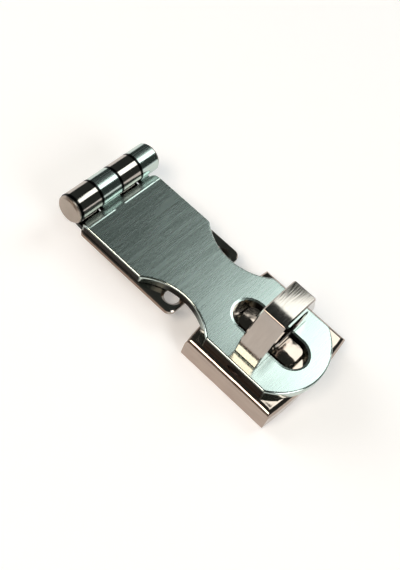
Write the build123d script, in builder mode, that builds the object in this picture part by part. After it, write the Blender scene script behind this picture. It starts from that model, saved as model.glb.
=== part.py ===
from build123d import *
import os
from math import sqrt

os.makedirs("parts", exist_ok=True)

# A hinged hasp, closed, with its padlock eye turned crosswise. All sizes are in millimetres.
# The origin is the centre of the leaf's screw holes, on the face that lies against the door.
# X runs from the hinge to the staple, Z points away from the door.

# Thicknesses, and the gap between the leaf and the strap that folds onto it
leaf_t = 1.4
lay_gap = 0.3
strap_t = 2.45
base_t = 6.7

# Lengths along X: the strap and the screws from the hinge pin, the waist between its two ends,
# and the leaf a little past the middle of the waist
strap_len = 76.6
screw_reach = 23.5
waist_reach = 26.0
waist_back = 10.6
leaf_past = 0.5

# Hinge barrel: four knuckles on one pin, the first and third on the leaf
axis_z = 5.0
barrel_r = 4.25
barrel_y = -13.1
pin_r = 2.0
pin_run = 0.05
knuckle_pitch = 7.4
knuckle_gap = 0.3
notch_clear = 0.25
neck_t = 1.5
foot_lap = 1.0

# Pin ends: a flat head at the near end and a riveted tail
pin_head_r = 4.05
pin_head_t = 1.3
pin_head_bevel = 0.5
pin_tail_r = 3.9
pin_tail_t = 0.75
pin_tail_bevel = 0.4
pin_tail_play = 0.1

# Strap outline
half_w = 14.0
waist_half = 9.1
head_r = 16.6
edge_round = 0.6
hinge_corner = 1.6
waist_corner = 1.6
bevel_len = 2.2
bevel_drop = 0.5
bevel_ease = 2.5

# Padlock eye, and the slot that passes over it once the eye is turned along the strap
eye_len = 22.2
eye_w = 7.1
eye_lift = 0.3
eye_wall = 5.7
eye_height = 15.5
crown_len = 12.6
crown_arch = 0.35
hole_len = 13.0
hole_high = 8.4
hole_up = 6.9
crease_round = 0.5
side_bevel = 0.35
slot_clear = 0.3
slot_back = 0.3
slot_w = 9.4
slot_rim = 0.65
slot_roll = 0.16

# Leaf
leaf_half = 14.4
leaf_corner = 2.2
leaf_bevel = 0.3
screw_r = 2.1
sink_r = 3.05
screw_dx = 22.0
screw_dy = 19.2

# Staple base with its boss, and the stem that turns in it
base_len = 28.2
base_w = 33.6
base_bow = 1.3
base_round = 1.9
boss_len = 19.6
boss_w = 8.6
boss_side = 1.45
boss_high = 2.0
boss_root = 1.0
boss_corner = 2.8
boss_bevel = 0.7
stem_r = 3.3
stem_run = 0.05
stem_root = 1.0
base_screw_r = 2.2
base_sink_r = 4.2
base_screw_dy = 21.2
well_r = 7.2
well_deep = 2.4
washer_t = 1.2
washer_r = 6.8
washer_play = 0.1
rivet_r = 2.4
rivet_head_r = 3.5
rivet_head_t = 0.7

# How far cuts run past the faces that they open, and how near its place an edge is looked for
overcut = 0.5
near = 0.1

# Places that follow from the sizes above
strap_z = leaf_t + lay_gap
strap_top = strap_z + strap_t
base_z = strap_z - base_t
axis_x = -screw_reach
tip_x = axis_x + strap_len
pivot_x = tip_x - head_r
head_x = pivot_x + sqrt(head_r**2 - half_w**2)
waist_x1 = axis_x + waist_reach
waist_x2 = pivot_x - waist_back
waist_mid = (waist_x1 + waist_x2) / 2
leaf_tip = waist_mid + leaf_past
notch_x = axis_x + barrel_r + notch_clear
bend_x = notch_x + bevel_len
half_gap = knuckle_gap / 2
y1 = barrel_y
y2 = y1 + knuckle_pitch
y3 = y2 + knuckle_pitch
y4 = y3 + knuckle_pitch
tail_y = y4 + knuckle_pitch
y5 = tail_y - pin_tail_t - pin_tail_play
eye_z = strap_top + eye_lift
eye_top = eye_z + eye_height
crown_z = eye_top - crown_arch
slot_x = pivot_x - slot_back
slot_len = eye_len + 2 * (slot_back + slot_clear)
well_z = base_z + well_deep
washer_z = well_z - washer_play - washer_t

# Hasp strap
with BuildPart() as hasp_strap:
    # the plate, with a waist and a round head about the eye's pivot
    with BuildSketch(Plane.XY.offset(strap_z)) as outline:
        with BuildLine():
            Line((notch_x, -half_w), (notch_x, half_w))
            Line((notch_x, half_w), (waist_x1, half_w))
            ThreePointArc((waist_x1, half_w), (waist_mid, waist_half), (waist_x2, half_w))
            Line((waist_x2, half_w), (head_x, half_w))
            ThreePointArc((head_x, half_w), (tip_x, 0), (head_x, -half_w))
            Line((head_x, -half_w), (waist_x2, -half_w))
            ThreePointArc((waist_x2, -half_w), (waist_mid, -waist_half), (waist_x1, -half_w))
            Line((waist_x1, -half_w), (notch_x, -half_w))
        make_face()
        fillet(outline.vertices().group_by(Axis.X)[0], hinge_corner)
        fillet(outline.vertices().filter_by_position(Axis.X, waist_x1 - near, head_x + near), waist_corner)
    extrude(amount=strap_t)
    # the band beside the barrel, bent down a little, and the rounded upper rim
    with BuildSketch(Plane.XZ):
        with BuildLine():
            Polyline(
                (notch_x, strap_top - bevel_drop),
                (bend_x, strap_top),
                (bend_x, strap_top + overcut),
                (notch_x, strap_top + overcut),
                close=True,
            )
        make_face()
    extrude(amount=half_w + overcut, both=True, mode=Mode.SUBTRACT)
    across = hasp_strap.edges().filter_by(Axis.Y)
    fillet(across.filter_by_position(Axis.X, bend_x - near, bend_x + near), bevel_ease)
    top_face = hasp_strap.faces().sort_by(Axis.Z)[-1]
    fillet(top_face.edges().sort_by(Axis.X)[-1], edge_round)
    # the slot, with the shallow roll that punching leaves round its upper rim
    with BuildSketch(Plane.XY.offset(strap_z)):
        with Locations((slot_x, 0)):
            SlotOverall(slot_len, slot_w)
    extrude(amount=strap_t, mode=Mode.SUBTRACT)
    with BuildSketch(Plane.XY.offset(strap_top - slot_roll)):
        with Locations((slot_x, 0)):
            SlotOverall(slot_len, slot_w)
    with BuildSketch(Plane.XY.offset(strap_top)):
        with Locations((slot_x, 0)):
            SlotOverall(slot_len + 2 * slot_rim, slot_w + 2 * slot_rim)
    loft(mode=Mode.SUBTRACT)
    # its knuckles, the second and the fourth of the barrel
    with BuildSketch(Plane.XZ.offset(-(y3 - half_gap))):
        with Locations((axis_x, axis_z)):
            Circle(barrel_r)
    extrude(amount=y3 - y2 - knuckle_gap)
    with BuildSketch(Plane.XZ.offset(-y5)):
        with Locations((axis_x, axis_z)):
            Circle(barrel_r)
    extrude(amount=y5 - y4 - half_gap)
    # the necks that join the knuckles to the plate
    with BuildSketch(Plane.XZ.offset(-(y3 - half_gap))) as neck:
        with BuildLine():
            Polyline(
                (axis_x, strap_z),
                (notch_x + foot_lap, strap_z),
                (notch_x + foot_lap, strap_z + neck_t),
                (axis_x, strap_z + neck_t),
                close=True,
            )
        make_face()
    extrude(amount=y3 - y2 - knuckle_gap)
    with BuildSketch(Plane.XZ.offset(-(half_w - hinge_corner))):
        add(neck.sketch_local)
    extrude(amount=half_w - hinge_corner - y4 - half_gap)
    # the running bore for the pin
    with BuildSketch(Plane.XZ):
        with Locations((axis_x, axis_z)):
            Circle(pin_r + pin_run)
    extrude(amount=tail_y, both=True, mode=Mode.SUBTRACT)
hasp_strap.part.label = "hasp_strap"
export_step(hasp_strap.part, "parts/hasp_strap.step")

# Hinge leaf
with BuildPart() as hinge_leaf:
    # the plate
    with BuildSketch() as plate:
        with BuildLine():
            Polyline(
                (notch_x, -leaf_half),
                (leaf_tip, -leaf_half),
                (leaf_tip, leaf_half),
                (notch_x, leaf_half),
                close=True,
            )
        make_face()
        fillet(plate.vertices().group_by(Axis.X)[-1], leaf_corner)
        fillet(plate.vertices().group_by(Axis.X)[0], hinge_corner)
    extrude(amount=leaf_t)
    chamfer(hinge_leaf.edges().group_by(Axis.Z)[-1], leaf_bevel)
    # its knuckles, the first and the third of the barrel
    with BuildSketch(Plane.XZ.offset(-(y2 - half_gap))):
        with Locations((axis_x, axis_z)):
            Circle(barrel_r)
    extrude(amount=y2 - y1 - half_gap)
    with BuildSketch(Plane.XZ.offset(-(y4 - half_gap))):
        with Locations((axis_x, axis_z)):
            Circle(barrel_r)
    extrude(amount=y4 - y3 - knuckle_gap)
    # the feet that slope down from the knuckles to the plate
    with BuildSketch(Plane.XZ.offset(-(y2 - half_gap))) as foot:
        with BuildLine():
            Polyline(
                (axis_x, axis_z - barrel_r),
                (notch_x, 0),
                (notch_x + foot_lap, 0),
                (notch_x + foot_lap, leaf_t),
                (notch_x, leaf_t),
                (axis_x, axis_z - barrel_r + leaf_t),
                close=True,
            )
        make_face()
    extrude(amount=y2 - y1 - half_gap)
    with BuildSketch(Plane.XZ.offset(-(y4 - half_gap))):
        add(foot.sketch_local)
    extrude(amount=y4 - y3 - knuckle_gap)
    # countersunk screw holes
    with BuildSketch(Plane.XY.offset(leaf_t)):
        with GridLocations(screw_dx, screw_dy, 2, 2):
            Circle(sink_r)
    extrude(amount=-(sink_r - screw_r), taper=45, mode=Mode.SUBTRACT)
    with BuildSketch():
        with GridLocations(screw_dx, screw_dy, 2, 2):
            Circle(screw_r)
    extrude(amount=leaf_t, mode=Mode.SUBTRACT)
    # the tight bore for the pin
    with BuildSketch(Plane.XZ):
        with Locations((axis_x, axis_z)):
            Circle(pin_r)
    extrude(amount=tail_y, both=True, mode=Mode.SUBTRACT)
hinge_leaf.part.label = "hinge_leaf"
export_step(hinge_leaf.part, "parts/hinge_leaf.step")

# Hinge pin
with BuildPart() as hinge_pin:
    with BuildSketch(Plane.XZ.offset(-y1)):
        with Locations((axis_x, axis_z)):
            Circle(pin_head_r)
    extrude(amount=pin_head_t)
    chamfer(hinge_pin.edges().group_by(Axis.Y)[0], pin_head_bevel)
    with BuildSketch(Plane.XZ.offset(-tail_y)):
        with Locations((axis_x, axis_z)):
            Circle(pin_tail_r)
    extrude(amount=pin_tail_t)
    chamfer(hinge_pin.edges().group_by(Axis.Y)[-1], pin_tail_bevel)
    with BuildSketch(Plane.XZ.offset(-(tail_y - pin_tail_t))):
        with Locations((axis_x, axis_z)):
            Circle(pin_r)
    extrude(amount=tail_y - pin_tail_t - y1)
hinge_pin.part.label = "hinge_pin"
export_step(hinge_pin.part, "parts/hinge_pin.step")

# Staple base, with bowed ends
with BuildPart() as staple_base:
    with BuildSketch(Plane.XY.offset(base_z)):
        with BuildLine():
            Line((pivot_x - base_len / 2, base_w / 2), (pivot_x + base_len / 2, base_w / 2))
            ThreePointArc(
                (pivot_x + base_len / 2, base_w / 2),
                (pivot_x + base_len / 2 + base_bow, 0),
                (pivot_x + base_len / 2, -base_w / 2),
            )
            Line((pivot_x + base_len / 2, -base_w / 2), (pivot_x - base_len / 2, -base_w / 2))
            ThreePointArc(
                (pivot_x - base_len / 2, -base_w / 2),
                (pivot_x - base_len / 2 - base_bow, 0),
                (pivot_x - base_len / 2, base_w / 2),
            )
        make_face()
    extrude(amount=base_t)
    fillet(staple_base.edges().group_by(Axis.Z)[-1], base_round)
    # the low rounded boss that stands in the strap's slot
    with BuildSketch(Plane.YZ.offset(pivot_x)):
        with BuildLine():
            Polyline(
                (-boss_w / 2, strap_z + boss_side),
                (-boss_w / 2, strap_z - boss_root),
                (boss_w / 2, strap_z - boss_root),
                (boss_w / 2, strap_z + boss_side),
            )
            ThreePointArc(
                (boss_w / 2, strap_z + boss_side),
                (0, strap_z + boss_high),
                (-boss_w / 2, strap_z + boss_side),
            )
        make_face()
    extrude(amount=boss_len / 2, both=True)
    upright = staple_base.edges().filter_by(Axis.Z)
    fillet(upright.filter_by_position(Axis.Z, strap_z, strap_z + boss_side), boss_corner)
    crest = staple_base.edges().filter_by_position(
        Axis.Z, strap_z + boss_side - near, strap_z + boss_high + near
    )
    chamfer(crest, boss_bevel)
    # the bore for the stem and the well for its washer
    with BuildSketch(Plane.XY.offset(base_z)):
        with Locations((pivot_x, 0)):
            Circle(stem_r + stem_run)
    extrude(amount=base_t + boss_high + overcut, mode=Mode.SUBTRACT)
    with BuildSketch(Plane.XY.offset(base_z)):
        with Locations((pivot_x, 0)):
            Circle(well_r)
    extrude(amount=well_deep, mode=Mode.SUBTRACT)
    # countersunk screw holes, covered by the closed strap
    with BuildSketch(Plane.XY.offset(strap_z)):
        with Locations((pivot_x, 0)):
            with GridLocations(1, base_screw_dy, 1, 2):
                Circle(base_sink_r)
    extrude(amount=-(base_sink_r - base_screw_r), taper=45, mode=Mode.SUBTRACT)
    with BuildSketch(Plane.XY.offset(base_z)):
        with Locations((pivot_x, 0)):
            with GridLocations(1, base_screw_dy, 1, 2):
                Circle(base_screw_r)
    extrude(amount=base_t, mode=Mode.SUBTRACT)
staple_base.part.label = "staple_base"
export_step(staple_base.part, "parts/staple_base.step")

# Swivel eye: upright ends, sloped shoulders, a slightly arched crown, a long hole for the padlock
with BuildPart() as swivel_eye:
    with BuildSketch(Plane.YZ.offset(pivot_x)):
        with BuildLine():
            Polyline(
                (crown_len / 2, crown_z),
                (eye_len / 2, eye_z + eye_wall),
                (eye_len / 2, eye_z),
                (-eye_len / 2, eye_z),
                (-eye_len / 2, eye_z + eye_wall),
                (-crown_len / 2, crown_z),
            )
            ThreePointArc((-crown_len / 2, crown_z), (0, eye_top), (crown_len / 2, crown_z))
        make_face()
    extrude(amount=eye_w / 2, both=True)
    fillet(swivel_eye.edges().filter_by(Axis.X), crease_round)
    with BuildSketch(Plane.YZ.offset(pivot_x)):
        with Locations((0, eye_z + hole_up)):
            SlotOverall(hole_len, hole_high)
    extrude(amount=eye_w, both=True, mode=Mode.SUBTRACT)
    chamfer(swivel_eye.faces().filter_by(Axis.X).edges(), side_bevel)
    # the stem, its riveted end and the head spread under the washer
    with BuildSketch(Plane.XY.offset(well_z - washer_play)):
        with Locations((pivot_x, 0)):
            Circle(stem_r)
    extrude(amount=eye_z + stem_root - well_z + washer_play)
    with BuildSketch(Plane.XY.offset(washer_z)):
        with Locations((pivot_x, 0)):
            Circle(rivet_r)
    extrude(amount=washer_t)
    with BuildSketch(Plane.XY.offset(washer_z)):
        with Locations((pivot_x, 0)):
            Circle(rivet_head_r)
    extrude(amount=-rivet_head_t, taper=30)
swivel_eye.part.label = "swivel_eye"
export_step(swivel_eye.part, "parts/swivel_eye.step")

# Washer under the base, fast on the stem
with BuildPart() as pivot_washer:
    with BuildSketch(Plane.XY.offset(washer_z)):
        with Locations((pivot_x, 0)):
            Circle(washer_r)
            Circle(rivet_r, mode=Mode.SUBTRACT)
    extrude(amount=washer_t)
pivot_washer.part.label = "pivot_washer"
export_step(pivot_washer.part, "parts/pivot_washer.step")
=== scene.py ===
# %% [markdown]
# # A hinged hasp with a swivel padlock eye
# The object is all rigid metal, so every piece of it comes from the CAD frame. What is left
# for Blender is what makes steel look like steel: finishes, a studio to reflect and a camera.

# %% Load the frame and measure it
import math

import bpy
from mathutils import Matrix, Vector


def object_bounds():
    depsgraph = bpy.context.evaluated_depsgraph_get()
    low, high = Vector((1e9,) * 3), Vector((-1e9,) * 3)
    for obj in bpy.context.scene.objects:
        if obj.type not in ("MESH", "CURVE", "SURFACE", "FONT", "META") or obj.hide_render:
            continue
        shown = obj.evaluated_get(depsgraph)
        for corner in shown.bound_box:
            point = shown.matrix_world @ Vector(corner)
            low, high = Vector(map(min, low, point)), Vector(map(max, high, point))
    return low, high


MM = 0.001

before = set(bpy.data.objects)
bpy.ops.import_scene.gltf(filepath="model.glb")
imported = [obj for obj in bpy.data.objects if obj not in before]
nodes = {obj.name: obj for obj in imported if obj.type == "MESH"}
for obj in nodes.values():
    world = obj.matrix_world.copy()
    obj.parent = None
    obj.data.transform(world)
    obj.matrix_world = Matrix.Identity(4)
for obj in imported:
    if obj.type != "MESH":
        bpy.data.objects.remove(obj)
cad_low, cad_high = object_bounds()
print("CAD box in mm:", [round((high - low) / MM, 1) for low, high in zip(cad_low, cad_high)])

# %% [markdown]
# The barrel is the row of four knuckles round the hinge pin. Its finish has to know where the
# joints between them are. They could be typed in, but read from the frame they stay right when a
# size changes: the axis comes from the pin, and the joints from the end of the leaf's first
# knuckle and the far end of the pin.

# %% Where the barrel is
KNUCKLES = 4

pin_points = [v.co for v in nodes["hinge_pin"].data.vertices]
hinge_x = (min(p.x for p in pin_points) + max(p.x for p in pin_points)) / 2
pin_end = max(p.y for p in pin_points)
barrel_end = min(v.co.y for v in nodes["hinge_leaf"].data.vertices if v.co.x < hinge_x)
knuckle = (pin_end - barrel_end) / KNUCKLES
print("Hinge axis at x", round(hinge_x / MM, 2), "mm, knuckles of", round(knuckle / MM, 2), "mm")


# %% [markdown]
# Colours are written the way a picture editor shows them, as sRGB hex values. Shaders count in
# linear light. Linear numbers could be typed in, but they are hard to picture, so one function
# converts the hex values.

# %% Colours from hex values
def linear(hex_value):
    channels = [int(hex_value[i : i + 2], 16) / 255 for i in (1, 3, 5)]
    light = [c / 12.92 if c <= 0.04045 else ((c + 0.055) / 1.055) ** 2.4 for c in channels]
    return (*light, 1.0)


print("Mid grey in linear light:", round(linear("#808080")[0], 3))

# %% [markdown]
# Node trees get long when each node takes six lines. The first helper adds one node, sets its
# options and fills its inputs: a socket is linked, anything else is set as a value. An input goes
# by its name, or by its number, such as i0, where a node has several of one name. On a Map Range
# node, 1 and 2 are the range that it reads, and 3 and 4 the range that it gives. On a Mix node,
# 2 and 3 are its numbers, and 6 and 7 its colours. The other helpers start and close a material.

# %% Helpers for node trees
COLOURS = {"data_type": "RGBA"}
NUMBERS = {"data_type": "FLOAT"}
TIMES = {"operation": "MULTIPLY"}
MINUS = {"operation": "SUBTRACT"}
WITHOUT_SIGN = {"operation": "ABSOLUTE"}
LARGER = {"operation": "MAXIMUM"}


def add(tree, kind, options=None, **inputs):
    node = tree.nodes.new(kind)
    for name, value in (options or {}).items():
        setattr(node, name, value)
    for name, value in inputs.items():
        numbered = name[0] == "i" and name[1:].isdigit()
        socket = node.inputs[int(name[1:])] if numbered else node.inputs[name]
        if isinstance(value, bpy.types.NodeSocket):
            tree.links.new(value, socket)
        else:
            socket.default_value = value
    return node


def new_material(name):
    material = bpy.data.materials.new(name)
    material.use_nodes = True
    material.node_tree.nodes.clear()
    return material, material.node_tree


def finish_material(material, shader):
    tree = material.node_tree
    add(tree, "ShaderNodeOutputMaterial", Surface=shader.outputs[0])
    print("Material", material.name, "has", len(tree.nodes), "nodes")


print("Helpers for node trees are ready")

# %% [markdown]
# The joints between the knuckles get dark rings round the barrel: painted shade, for the shade
# that falls into the narrow gaps. The rings could be painted on an unwrapped texture. A mask that
# is worked out from the place of each point needs no unwrapping and stays sharp: it is 1 near a
# joint, and on the barrel only.

# %% Painted shade in the joints of the barrel
JOINT_W = 0.3 * MM
BARREL_R = 4.5 * MM
# Colour of the painted shade in the joints
JOINT_SHADE = "#1c1d1c"


def joint_shade_mask(tree, place):
    spot = add(tree, "ShaderNodeSeparateXYZ", Vector=place.outputs["Object"])
    along = add(tree, "ShaderNodeMath", MINUS, i0=spot.outputs["Y"], i1=barrel_end)
    to_and_fro = {"operation": "PINGPONG"}
    nearest = add(tree, "ShaderNodeMath", to_and_fro, i0=along.outputs[0], i1=knuckle / 2)
    ring = add(tree, "ShaderNodeMapRange", i0=nearest.outputs[0], i1=JOINT_W, i2=2 * JOINT_W)
    ring.inputs[3].default_value = 1.0
    ring.inputs[4].default_value = 0.0
    below = {"operation": "LESS_THAN"}
    barrel = add(tree, "ShaderNodeMath", below, i0=spot.outputs["X"], i1=hinge_x + BARREL_R)
    return add(tree, "ShaderNodeMath", TIMES, i0=ring.outputs[0], i1=barrel.outputs[0])


print("Joints every", round(knuckle / MM, 2), "mm along the barrel")

# %% [markdown]
# Plate keeps dull edges where the press cut it, and those edges also get a dark colour: painted
# shade on the side walls. The faces there could be picked one by one and given a material of their
# own. A mask from the direction in which a surface faces is simpler, and it fades out softly on the
# rounding above the edge: it is 1 where a surface faces along Y, as the long cut edges do.

# %% Dull cut edges with painted shade
CUT_FROM = 0.8
CUT_FULL = 0.97


def cut_mask(tree, place):
    facing = add(tree, "ShaderNodeSeparateXYZ", Vector=place.outputs["Normal"])
    sideways = add(tree, "ShaderNodeMath", WITHOUT_SIGN, i0=facing.outputs["Y"])
    return add(tree, "ShaderNodeMapRange", i0=sideways.outputs[0], i1=CUT_FROM, i2=CUT_FULL)


print("Cut edges start", round(math.degrees(math.asin(CUT_FROM))), "degrees from the flat top")

# %% [markdown]
# Brushed stainless steel: the strap was drawn under a belt that ran across its width, so its flat
# top is covered with fine scratches along Y. They show as faint light and dark lines, smoother and
# rougher in turn. The rounded edges were polished afterwards and stay smooth. A picture of brushed
# steel could be laid on it, but it would blur or repeat, so noise that is stretched along Y draws
# the scratches. The real ones are a few hundredths of a millimetre wide. They are drawn about ten
# times coarser here, so that they show at this picture size.

# %% Scratches of the strap
SCRATCH_W = 0.45 * MM
SCRATCH_L = 14 * MM
SCRATCH_H = 0.02 * MM
SCRATCH_SHOW = 0.05
NOISE_LOW = 0.3
NOISE_HIGH = 0.7
FLAT_FROM = 0.93
FLAT_FULL = 0.98
BRUSHED_LOW = 0.25
BRUSHED_HIGH = 0.29
ROUNDED = 0.14

brushed, tree = new_material("brushed_stainless_steel")
place = add(tree, "ShaderNodeTexCoord")
strokes = (1 / SCRATCH_W, 1 / SCRATCH_L, 1 / SCRATCH_W)
stretch = add(tree, "ShaderNodeMapping", Vector=place.outputs["Object"], Scale=strokes)
scratch = add(tree, "ShaderNodeTexNoise", Vector=stretch.outputs[0], Scale=1.0, Detail=1.0)
facing = add(tree, "ShaderNodeSeparateXYZ", Vector=place.outputs["Normal"])
flat = add(tree, "ShaderNodeMapRange", i0=facing.outputs["Z"], i1=FLAT_FROM, i2=FLAT_FULL)
grain = add(tree, "ShaderNodeMapRange", i0=scratch.outputs[0], i1=NOISE_LOW, i2=NOISE_HIGH)
grain.inputs[3].default_value = BRUSHED_LOW
grain.inputs[4].default_value = BRUSHED_HIGH
rough = add(tree, "ShaderNodeMix", NUMBERS, i0=flat.outputs[0], i2=ROUNDED, i3=grain.outputs[0])
tint = add(tree, "ShaderNodeMix", COLOURS, i0=scratch.outputs[0])
tint.inputs[6].default_value = linear("#b5c4bd")
tint.inputs[7].default_value = linear("#cad6d1")
depth = add(tree, "ShaderNodeMath", TIMES, i0=scratch.outputs[0], i1=flat.outputs[0])
lines = add(tree, "ShaderNodeBump", Strength=SCRATCH_SHOW, Distance=SCRATCH_H, Height=depth.outputs[0])
print("Scratches of", round(SCRATCH_W / MM, 2), "by", round(SCRATCH_L / MM, 1), "mm")

# %% [markdown]
# Where the plate was bent beside the barrel, the bend left a low ridge, broken into dashes, that
# catches the light. It is less than a tenth of a millimetre high, so a bump in the finish is
# enough, and the shape needs no change: a pointed ridge over the bend, times noise along Y that
# breaks it.

# %% Ridge along the bend
BEND = 6.9 * MM
BEND_W = 0.35 * MM
BEND_H = 0.08 * MM
DASH = 5 * MM
DASH_FROM = 0.4
DASH_FULL = 0.45

spot = add(tree, "ShaderNodeSeparateXYZ", Vector=place.outputs["Object"])
off = add(tree, "ShaderNodeMath", MINUS, i0=spot.outputs["X"], i1=hinge_x + BEND)
away = add(tree, "ShaderNodeMath", WITHOUT_SIGN, i0=off.outputs[0])
ridge = add(tree, "ShaderNodeMapRange", i0=away.outputs[0], i1=0.0, i2=BEND_W, i3=1.0, i4=0.0)
along_a_line = {"noise_dimensions": "1D"}
breaks = add(tree, "ShaderNodeTexNoise", along_a_line, W=spot.outputs["Y"], Scale=1 / DASH)
dashes = add(tree, "ShaderNodeMapRange", i0=breaks.outputs[0], i1=DASH_FROM, i2=DASH_FULL)
burr = add(tree, "ShaderNodeMath", TIMES, i0=ridge.outputs[0], i1=dashes.outputs[0])
fold = add(tree, "ShaderNodeBump", Distance=BEND_H, Height=burr.outputs[0], Normal=lines.outputs[0])
print("Ridge", round(BEND / MM, 2), "mm from the hinge axis")

# %% [markdown]
# The strap's finish is now put together. Its cut edges are dull and get a painted shade, and its
# joints a darker painted shade still. Scratches blur reflections mostly across their own direction.
# More roughness would blur them every way, so anisotropy does it, on the flat top alone. The shader
# stretches highlights along the tangent, which follows the scratches, so it gets a quarter turn.

# %% Brushed steel for the strap
SHEARED = 0.6
SPREAD = 0.5
QUARTER_TURN = 0.25

cut = cut_mask(tree, place)
dull = add(tree, "ShaderNodeMix", NUMBERS, i0=cut.outputs[0], i2=rough.outputs[0], i3=SHEARED)
# Painted shade: the cut edges facing along Y get a dark colour
edge_shaded = add(tree, "ShaderNodeMix", COLOURS, i0=cut.outputs[0], i6=tint.outputs[2])
edge_shaded.inputs[7].default_value = linear("#2c2825")
# Painted shade: the joints of the barrel get a darker colour
shade_in_joints = joint_shade_mask(tree, place)
with_joint_shade = add(tree, "ShaderNodeMix", COLOURS, i0=shade_in_joints.outputs[0], i6=edge_shaded.outputs[2])
with_joint_shade.inputs[7].default_value = linear(JOINT_SHADE)
along = add(tree, "ShaderNodeCombineXYZ", Y=1.0)
spread = add(tree, "ShaderNodeMath", TIMES, i0=flat.outputs[0], i1=SPREAD)
steel = add(tree, "ShaderNodeBsdfPrincipled", Metallic=1.0, Anisotropic=spread.outputs[0])
steel.inputs["Anisotropic Rotation"].default_value = QUARTER_TURN
tree.links.new(along.outputs[0], steel.inputs["Tangent"])
tree.links.new(fold.outputs[0], steel.inputs["Normal"])
tree.links.new(with_joint_shade.outputs[2], steel.inputs["Base Color"])
tree.links.new(dull.outputs[0], steel.inputs["Roughness"])
finish_material(brushed, steel)


# %% [markdown]
# Polished stainless steel: the leaf, the base and the eye were buffed to a mirror, so they show
# the studio, a little hazy and bent. Buffing leaves slow waves, which could be sculpted.
# Noise that moves the surface and its roughness together is lighter and leaves the shape alone.
# One function makes all these finishes, because only their values differ: two colours, the least
# and the most haze, the length of the waves along X, Y and Z and their height, both in millimetres.
# The leaf is cut from plate, so its cut edges also get a colour of their own: painted shade. The
# eye's waves are short along X, like the lines that a fine belt leaves. The pin and the washer were
# never buffed: they are made up in the same way, with far more haze.

# %% A function for polished steel
def polished_steel(name, light, dark, haze, drift, wave, edge=None):
    material, tree = new_material(name)
    place = add(tree, "ShaderNodeTexCoord")
    stretch = add(tree, "ShaderNodeMapping", Vector=place.outputs["Object"])
    stretch.inputs["Scale"].default_value = [1 / (length * MM) for length in drift]
    cloud = add(tree, "ShaderNodeTexNoise", Vector=stretch.outputs[0], Scale=1.0, Detail=2.0)
    rough = add(tree, "ShaderNodeMapRange", i0=cloud.outputs[0], i1=NOISE_LOW, i2=NOISE_HIGH)
    rough.inputs[3].default_value, rough.inputs[4].default_value = haze
    tint = add(tree, "ShaderNodeMix", COLOURS, i0=cloud.outputs[0])
    tint.inputs[6].default_value = linear(dark)
    tint.inputs[7].default_value = linear(light)
    if edge:
        cut = cut_mask(tree, place)
        # Painted shade: the cut edges facing along Y get the edge colour
        edge_shaded = add(tree, "ShaderNodeMix", COLOURS, i0=cut.outputs[0], i6=tint.outputs[2])
        edge_shaded.inputs[7].default_value = linear(edge)
        tint = edge_shaded
    # Painted shade: the joints of the barrel get a darker colour
    shade_in_joints = joint_shade_mask(tree, place)
    with_joint_shade = add(tree, "ShaderNodeMix", COLOURS, i0=shade_in_joints.outputs[0], i6=tint.outputs[2])
    with_joint_shade.inputs[7].default_value = linear(JOINT_SHADE)
    buffed = add(tree, "ShaderNodeBump", Strength=1.0, Distance=wave * MM, Height=cloud.outputs[0])
    steel = add(tree, "ShaderNodeBsdfPrincipled", Metallic=1.0, Roughness=rough.outputs[0])
    tree.links.new(buffed.outputs[0], steel.inputs["Normal"])
    tree.links.new(with_joint_shade.outputs[2], steel.inputs["Base Color"])
    finish_material(material, steel)
    return material


print("Noise from", NOISE_LOW, "to", NOISE_HIGH, "becomes the least and the most haze")

# %% Polished, satin and plain steel for the other pieces
polished_leaf = polished_steel(
    "polished_steel_leaf",
    light="#bcb5ae",
    dark="#a9a199",
    haze=(0.06, 0.12),
    drift=(4, 4, 4),
    wave=0.02,
    # The edge colour is a painted shade on the leaf's cut edges
    edge="#8a7565",
)
polished_base = polished_steel(
    "polished_steel_base",
    light="#b3a498",
    dark="#a1938a",
    haze=(0.06, 0.12),
    drift=(6, 5, 3),
    wave=0.12,
)
polished_eye = polished_steel(
    "polished_steel_eye",
    light="#b5ada6",
    dark="#a69e97",
    haze=(0.06, 0.12),
    drift=(0.4, 4, 4),
    wave=0.005,
)
satin_pin = polished_steel(
    "satin_steel_pin",
    light="#b0a499",
    dark="#9b8f84",
    haze=(0.28, 0.36),
    drift=(4, 4, 4),
    wave=0.02,
)
plain_washer = polished_steel(
    "plain_steel_washer",
    light="#b9b7b4",
    dark="#a8a6a3",
    haze=(0.3, 0.42),
    drift=(4, 4, 4),
    wave=0.02,
)

# %% [markdown]
# Each piece of the frame takes one finish in its slot. A piece could be modelled again here with
# more detail, but these are whole as the CAD made them, so their shapes stay as they are.

# %% Give each piece its finish
finishes = {
    "hasp_strap": brushed,
    "hinge_leaf": polished_leaf,
    "hinge_pin": satin_pin,
    "staple_base": polished_base,
    "swivel_eye": polished_eye,
    "pivot_washer": plain_washer,
}
for name, material in finishes.items():
    nodes[name].data.materials.clear()
    nodes[name].data.materials.append(material)
print("Finished pieces:", ", ".join(finishes))

# %% [markdown]
# The studio has a pale paper floor that runs on for metres, so its edge stays far from the hasp.
# It takes the shadow of the hasp. More lamps could make the paper white, but they would burn out
# the steel. So the paper has a little glow of its own, which only the camera, mirrors and glass can
# see. Far from the hasp the lamps fade, and the glow takes over from them. The lengths are in metres.

# %% Pale paper floor
FLOOR = 40
LAMPS_REACH = 0.4
LAMPS_END = 1.2
GLOW_NEAR = 0.22
GLOW_FAR = 0.9

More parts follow.
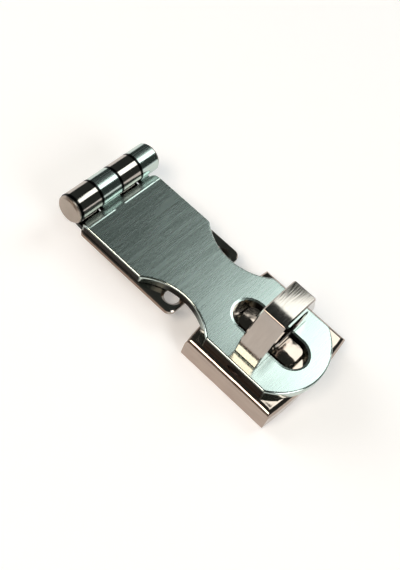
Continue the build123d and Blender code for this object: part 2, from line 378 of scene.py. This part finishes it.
bpy.ops.mesh.primitive_plane_add(size=FLOOR, location=(0, 0, cad_low.z))
floor = bpy.context.object
floor.name = "paper_floor"
paper, tree = new_material("white_paper")
seen = add(tree, "ShaderNodeLightPath").outputs
direct = add(tree, "ShaderNodeMath", LARGER, i0=seen["Is Camera Ray"], i1=seen["Is Glossy Ray"])
shown = add(tree, "ShaderNodeMath", LARGER, i0=direct.outputs[0], i1=seen["Is Transmission Ray"])
place = add(tree, "ShaderNodeTexCoord")
away = add(tree, "ShaderNodeVectorMath", {"operation": "LENGTH"}, i0=place.outputs["Object"])
lift = add(tree, "ShaderNodeMapRange", i0=away.outputs["Value"], i1=LAMPS_REACH, i2=LAMPS_END)
lift.inputs[3].default_value = GLOW_NEAR
lift.inputs[4].default_value = GLOW_FAR
glow = add(tree, "ShaderNodeMath", TIMES, i0=shown.outputs[0], i1=lift.outputs[0])
sheet = add(tree, "ShaderNodeBsdfPrincipled", Roughness=0.9)
sheet.inputs["Base Color"].default_value = linear("#f4f4f4")
sheet.inputs["Emission Color"].default_value = linear("#ffffff")
tree.links.new(glow.outputs[0], sheet.inputs["Emission Strength"])
finish_material(paper, sheet)
floor.data.materials.append(paper)

# %% [markdown]
# Polished metal shows its surroundings more than its own colour. A picture of a studio could stand
# round it, but soft boxes can be moved one by one until each highlight is in its place. They are
# described by how bright they look, where 1 is white paper. The back box is the long white light on
# the barrel. The head of the strap mirrors it and the hinge end does not, which shades the strap
# from dark to light. A warm box beside the camera draws thin lines on the rounded edges, and two
# wide boxes at the sides fill the shadows. The lengths are in metres.

# %% A function for soft boxes
centre = (cad_low + cad_high) / 2


def soft_box(name, direction, distance, width, height, brightness, colour):
    place = centre + Vector(direction).normalized() * distance
    bpy.ops.object.light_add(type="AREA", location=place)
    lamp = bpy.context.object
    lamp.name = name
    lamp.rotation_euler = (centre - place).to_track_quat("-Z", "Y").to_euler()
    lamp.data.shape = "RECTANGLE"
    lamp.data.size = width
    lamp.data.size_y = height
    lamp.data.energy = brightness * math.pi * width * height
    lamp.data.color = linear(colour)[:3]
    print("Soft box", name, "of", round(lamp.data.energy, 2), "W")


print("Soft boxes point at", [round(part / MM, 1) for part in centre], "mm")

# %% Soft boxes
soft_box(
    "back_box",
    direction=(0.15, 0.67, 0.73),
    distance=0.7,
    width=0.34,
    height=0.41,
    brightness=3.0,
    colour="#f6fefc",
)
soft_box(
    "front_box",
    direction=(-0.13, -0.6, 0.79),
    distance=0.8,
    width=0.45,
    height=0.26,
    brightness=8.0,
    colour="#ffeedd",
)
for name, side in (("left_box", -1), ("right_box", 1)):
    soft_box(
        name,
        direction=(side * 0.86, -0.1, 0.5),
        distance=0.9,
        width=0.5,
        height=0.5,
        brightness=4.0,
        colour="#ffffff",
    )

# %% [markdown]
# The room is dark, apart from a warm pale wall low behind the camera and a white haze along the
# horizon, into which the paper runs out. Walls could be modelled, but nothing of them is seen
# except in the steel, so the world does their work. Its shader works from the direction of a ray
# alone, so every view gets the same room. The limits below are parts of that direction along Y for
# the wall's middle and ends, and along Z for the rest. The wall's share is how much of it shows.

# %% The room
WALL_SOLID = 0.25
WALL_TOP = 0.5
WALL_MIDDLE = -0.8
WALL_ENDS = -0.4
WALL_SHARE = 0.5
HAZE_SOLID = 0.06
HAZE_TOP = 0.12

world = bpy.data.worlds.new("studio_room")
bpy.context.scene.world = world
world.use_nodes = True
tree = world.node_tree
tree.nodes.clear()
ray = add(tree, "ShaderNodeTexCoord")
aim = add(tree, "ShaderNodeSeparateXYZ", Vector=ray.outputs["Generated"])
rise = aim.outputs["Z"]
low_down = add(tree, "ShaderNodeMapRange", i0=rise, i1=WALL_SOLID, i2=WALL_TOP, i3=1.0, i4=0.0)
behind = add(tree, "ShaderNodeMapRange", i0=aim.outputs["Y"], i1=WALL_MIDDLE, i2=WALL_ENDS)
behind.inputs[3].default_value = WALL_SHARE
behind.inputs[4].default_value = 0.0
wall = add(tree, "ShaderNodeMath", TIMES, i0=low_down.outputs[0], i1=behind.outputs[0])
shade = add(tree, "ShaderNodeMix", COLOURS, i0=wall.outputs[0])
shade.inputs[6].default_value = linear("#363b39")
shade.inputs[7].default_value = linear("#f3e0d4")
skyline = add(tree, "ShaderNodeMapRange", i0=rise, i1=HAZE_SOLID, i2=HAZE_TOP, i3=1.0, i4=0.0)
haze = add(tree, "ShaderNodeMix", COLOURS, i0=skyline.outputs[0], i6=shade.outputs[2])
haze.inputs[7].default_value = linear("#ffffff")
room = add(tree, "ShaderNodeBackground", Color=haze.outputs[2])
add(tree, "ShaderNodeOutputWorld", Surface=room.outputs[0])
print("World has", len(tree.nodes), "nodes")

# %% [markdown]
# The camera has the photograph's viewing angle: it stands in front of the padlock side, well above
# the hasp, and is turned so that the strap runs down to the right. It could be set by eye, but it
# was fitted to corners that the photograph shows, which gave its lens too. Its place and its lens
# are in millimetres and its turn in degrees.

# %% Camera
CAMERA_PLACE = (63.38, -120.64, 188.02)
CAMERA_TURN = (32.39, -12.976, 42.176)
CAMERA_LENS = 54.58
CAMERA_SENSOR = 36

camera_data = bpy.data.cameras.new("photo_camera")
camera = bpy.data.objects.new("photo_camera", camera_data)
bpy.context.scene.collection.objects.link(camera)
camera.location = [length * MM for length in CAMERA_PLACE]
camera.rotation_euler = [math.radians(angle) for angle in CAMERA_TURN]
camera_data.sensor_width = CAMERA_SENSOR
camera_data.lens = CAMERA_LENS
camera_data.clip_start = 10 * MM
bpy.context.scene.camera = camera
bpy.context.scene.view_settings.view_transform = "Standard"
print("Camera lens in mm:", CAMERA_LENS)
